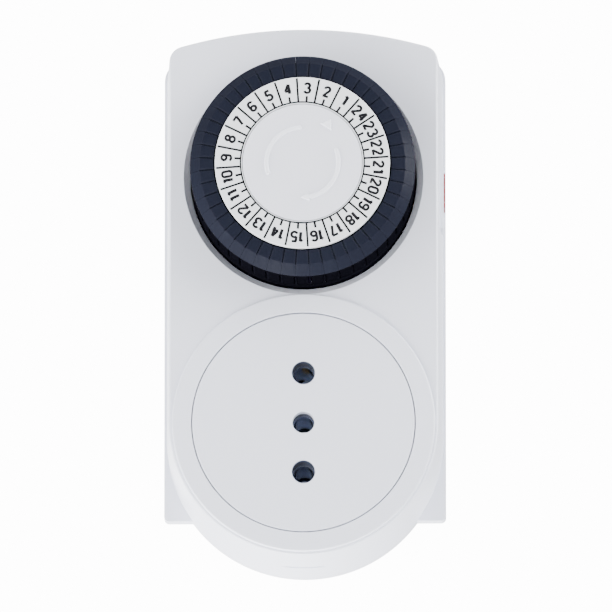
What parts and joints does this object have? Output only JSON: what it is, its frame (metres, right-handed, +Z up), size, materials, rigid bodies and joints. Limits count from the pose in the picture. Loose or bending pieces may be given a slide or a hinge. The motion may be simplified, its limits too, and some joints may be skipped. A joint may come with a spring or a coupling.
{
  "type": "plug in timer switch",
  "caption": "Mains plug in timer: arched white housing, round through socket, and a daily dial with push in tappets, a gear train, a motor, a switch and an override slide.",
  "frame": {"origin": "root of the earth pin on the flat back, which lies against the wall", "axes": "+X to the user's right, +Y into the wall along the plug pins, +Z up the housing towards the dial"},
  "size_m": [0.0728, 0.0641, 0.1414],
  "materials": {
    "white_shell": "fine satin moulding",
    "white_back": "fine satin moulding",
    "white_plate": "fine satin moulding",
    "cap_white": "fine satin moulding",
    "hour_white": "smooth, printed",
    "tappet_dark": "fine matt moulding",
    "drum_grey": "matt moulding",
    "gear_plastic": "natural acetal",
    "holder_plastic": "heat resistant moulding",
    "black_plastic": "matt",
    "red": "satin moulding",
    "brass": "drawn",
    "copper": "drawn",
    "steel": "turned",
    "spring_steel": "drawn",
    "zinc_plate": "zinc plated",
    "magnet": "sintered ferrite",
    "lead_sleeve": "extruded insulation"
  },
  "bodies": {
    "housing": {"front_cover": "white_shell", "rear_cover": "white_back", "socket_plate": "white_plate", "housing_screws": "steel", "chassis_plate": "zinc_plate", "chassis_screws": "steel", "dial_spindle": "steel", "spindle_clip": "steel", "pointer_cap": "cap_white", "idler_arbor": "steel", "motor_can": "steel", "motor_gearbox": "zinc_plate", "motor_bobbin": "black_plastic", "motor_winding": "copper", "motor_leads": "lead_sleeve", "lever_pivot_pin": "steel", "lever_spring": "spring_steel", "switch_case": "black_plastic", "switch_terminals": "brass", "contact_holder": "holder_plastic", "live_contacts": "brass", "earth_contact": "brass", "earth_pin": "brass", "live_pins": "brass", "pin_sleeves": "black_plastic", "busbars": "copper"},
    "dial": {"dial_ring": "drum_grey", "hour_ring": "hour_white", "dial_gear": "gear_plastic", "clutch_spring": "spring_steel"},
    "tappets_01": {"tappets_hour_01": "tappet_dark"},
    "tappets_02": {"tappets_hour_02": "tappet_dark"},
    "tappets_03": {"tappets_hour_03": "tappet_dark"},
    "tappets_04": {"tappets_hour_04": "tappet_dark"},
    "tappets_05": {"tappets_hour_05": "tappet_dark"},
    "tappets_06": {"tappets_hour_06": "tappet_dark"},
    "tappets_07": {"tappets_hour_07": "tappet_dark"},
    "tappets_08": {"tappets_hour_08": "tappet_dark"},
    "tappets_09": {"tappets_hour_09": "tappet_dark"},
    "tappets_10": {"tappets_hour_10": "tappet_dark"},
    "tappets_11": {"tappets_hour_11": "tappet_dark"},
    "tappets_12": {"tappets_hour_12": "tappet_dark"},
    "tappets_13": {"tappets_hour_13": "tappet_dark"},
    "tappets_14": {"tappets_hour_14": "tappet_dark"},
    "tappets_15": {"tappets_hour_15": "tappet_dark"},
    "tappets_16": {"tappets_hour_16": "tappet_dark"},
    "tappets_17": {"tappets_hour_17": "tappet_dark"},
    "tappets_18": {"tappets_hour_18": "tappet_dark"},
    "tappets_19": {"tappets_hour_19": "tappet_dark"},
    "tappets_20": {"tappets_hour_20": "tappet_dark"},
    "tappets_21": {"tappets_hour_21": "tappet_dark"},
    "tappets_22": {"tappets_hour_22": "tappet_dark"},
    "tappets_23": {"tappets_hour_23": "tappet_dark"},
    "tappets_24": {"tappets_hour_24": "tappet_dark"},
    "idler": {"idler_gear": "gear_plastic"},
    "output_pinion": {"motor_pinion": "brass"},
    "rotor": {"motor_rotor": "magnet"},
    "lever": {"feeler_lever": "gear_plastic"},
    "plunger": {"switch_plunger": "red"},
    "override": {"override_slider": "red"}
  },
  "joints": [
    {"name": "dial_turn", "type": "hinge", "parent": "housing", "child": "dial", "pos_m": [0, 0, 0.0648], "axis": [0, 1, 0], "continuous": true},
    {"name": "tappets_01_slide", "type": "slide", "parent": "dial", "child": "tappets_01", "axis": [0, 1, 0], "range_m": [0, 0.003]},
    {"name": "tappets_02_slide", "type": "slide", "parent": "dial", "child": "tappets_02", "axis": [0, 1, 0], "range_m": [0, 0.003]},
    {"name": "tappets_03_slide", "type": "slide", "parent": "dial", "child": "tappets_03", "axis": [0, 1, 0], "range_m": [0, 0.003]},
    {"name": "tappets_04_slide", "type": "slide", "parent": "dial", "child": "tappets_04", "axis": [0, 1, 0], "range_m": [0, 0.003]},
    {"name": "tappets_05_slide", "type": "slide", "parent": "dial", "child": "tappets_05", "axis": [0, 1, 0], "range_m": [0, 0.003]},
    {"name": "tappets_06_slide", "type": "slide", "parent": "dial", "child": "tappets_06", "axis": [0, 1, 0], "range_m": [0, 0.003]},
    {"name": "tappets_07_slide", "type": "slide", "parent": "dial", "child": "tappets_07", "axis": [0, 1, 0], "range_m": [0, 0.003]},
    {"name": "tappets_08_slide", "type": "slide", "parent": "dial", "child": "tappets_08", "axis": [0, 1, 0], "range_m": [0, 0.003]},
    {"name": "tappets_09_slide", "type": "slide", "parent": "dial", "child": "tappets_09", "axis": [0, 1, 0], "range_m": [0, 0.003]},
    {"name": "tappets_10_slide", "type": "slide", "parent": "dial", "child": "tappets_10", "axis": [0, 1, 0], "range_m": [0, 0.003]},
    {"name": "tappets_11_slide", "type": "slide", "parent": "dial", "child": "tappets_11", "axis": [0, 1, 0], "range_m": [0, 0.003]},
    {"name": "tappets_12_slide", "type": "slide", "parent": "dial", "child": "tappets_12", "axis": [0, 1, 0], "range_m": [0, 0.003]},
    {"name": "tappets_13_slide", "type": "slide", "parent": "dial", "child": "tappets_13", "axis": [0, 1, 0], "range_m": [0, 0.003]},
    {"name": "tappets_14_slide", "type": "slide", "parent": "dial", "child": "tappets_14", "axis": [0, 1, 0], "range_m": [0, 0.003]},
    {"name": "tappets_15_slide", "type": "slide", "parent": "dial", "child": "tappets_15", "axis": [0, 1, 0], "range_m": [0, 0.003]},
    {"name": "tappets_16_slide", "type": "slide", "parent": "dial", "child": "tappets_16", "axis": [0, 1, 0], "range_m": [0, 0.003]},
    {"name": "tappets_17_slide", "type": "slide", "parent": "dial", "child": "tappets_17", "axis": [0, 1, 0], "range_m": [0, 0.003]},
    {"name": "tappets_18_slide", "type": "slide", "parent": "dial", "child": "tappets_18", "axis": [0, 1, 0], "range_m": [0, 0.003]},
    {"name": "tappets_19_slide", "type": "slide", "parent": "dial", "child": "tappets_19", "axis": [0, 1, 0], "range_m": [0, 0.003]},
    {"name": "tappets_20_slide", "type": "slide", "parent": "dial", "child": "tappets_20", "axis": [0, 1, 0], "range_m": [0, 0.003]},
    {"name": "tappets_21_slide", "type": "slide", "parent": "dial", "child": "tappets_21", "axis": [0, 1, 0], "range_m": [0, 0.003]},
    {"name": "tappets_22_slide", "type": "slide", "parent": "dial", "child": "tappets_22", "axis": [0, 1, 0], "range_m": [0, 0.003]},
    {"name": "tappets_23_slide", "type": "slide", "parent": "dial", "child": "tappets_23", "axis": [0, 1, 0], "range_m": [0, 0.003]},
    {"name": "tappets_24_slide", "type": "slide", "parent": "dial", "child": "tappets_24", "axis": [0, 1, 0], "range_m": [0, 0.003]},
    {"name": "idler_turn", "type": "hinge", "parent": "housing", "child": "idler", "pos_m": [-0.01949, 0, 0.04469], "axis": [0, 1, 0], "continuous": true},
    {"name": "output_pinion_turn", "type": "hinge", "parent": "housing", "child": "output_pinion", "pos_m": [-0.01612, 0, 0.05725], "axis": [0, 1, 0], "continuous": true},
    {"name": "rotor_turn", "type": "hinge", "parent": "housing", "child": "rotor", "pos_m": [-0.01, 0, 0.071], "axis": [0, 1, 0], "continuous": true},
    {"name": "lever_rock", "type": "hinge", "parent": "housing", "child": "lever", "pos_m": [0.0265, -0.013, 0.0468], "axis": [-1, 0, 0], "range_deg": [0, 4.5], "stiffness_Nm_per_rad": 0.01, "springref_deg": -2.86, "deforming": ["lever_spring"]},
    {"name": "plunger_press", "type": "slide", "parent": "housing", "child": "plunger", "axis": [0, 1, 0], "range_m": [0, 0.0007]},
    {"name": "override_slide", "type": "slide", "parent": "housing", "child": "override", "axis": [0, 0, -1], "range_m": [0, 0.0047]}
  ],
  "couplings": [
    {"joint": "idler_turn", "follows": "dial_turn", "ratio": -6},
    {"joint": "output_pinion_turn", "follows": "dial_turn", "ratio": 20},
    {"joint": "plunger_press", "follows": "lever_rock", "m_per_rad": 0.008}
  ]
}
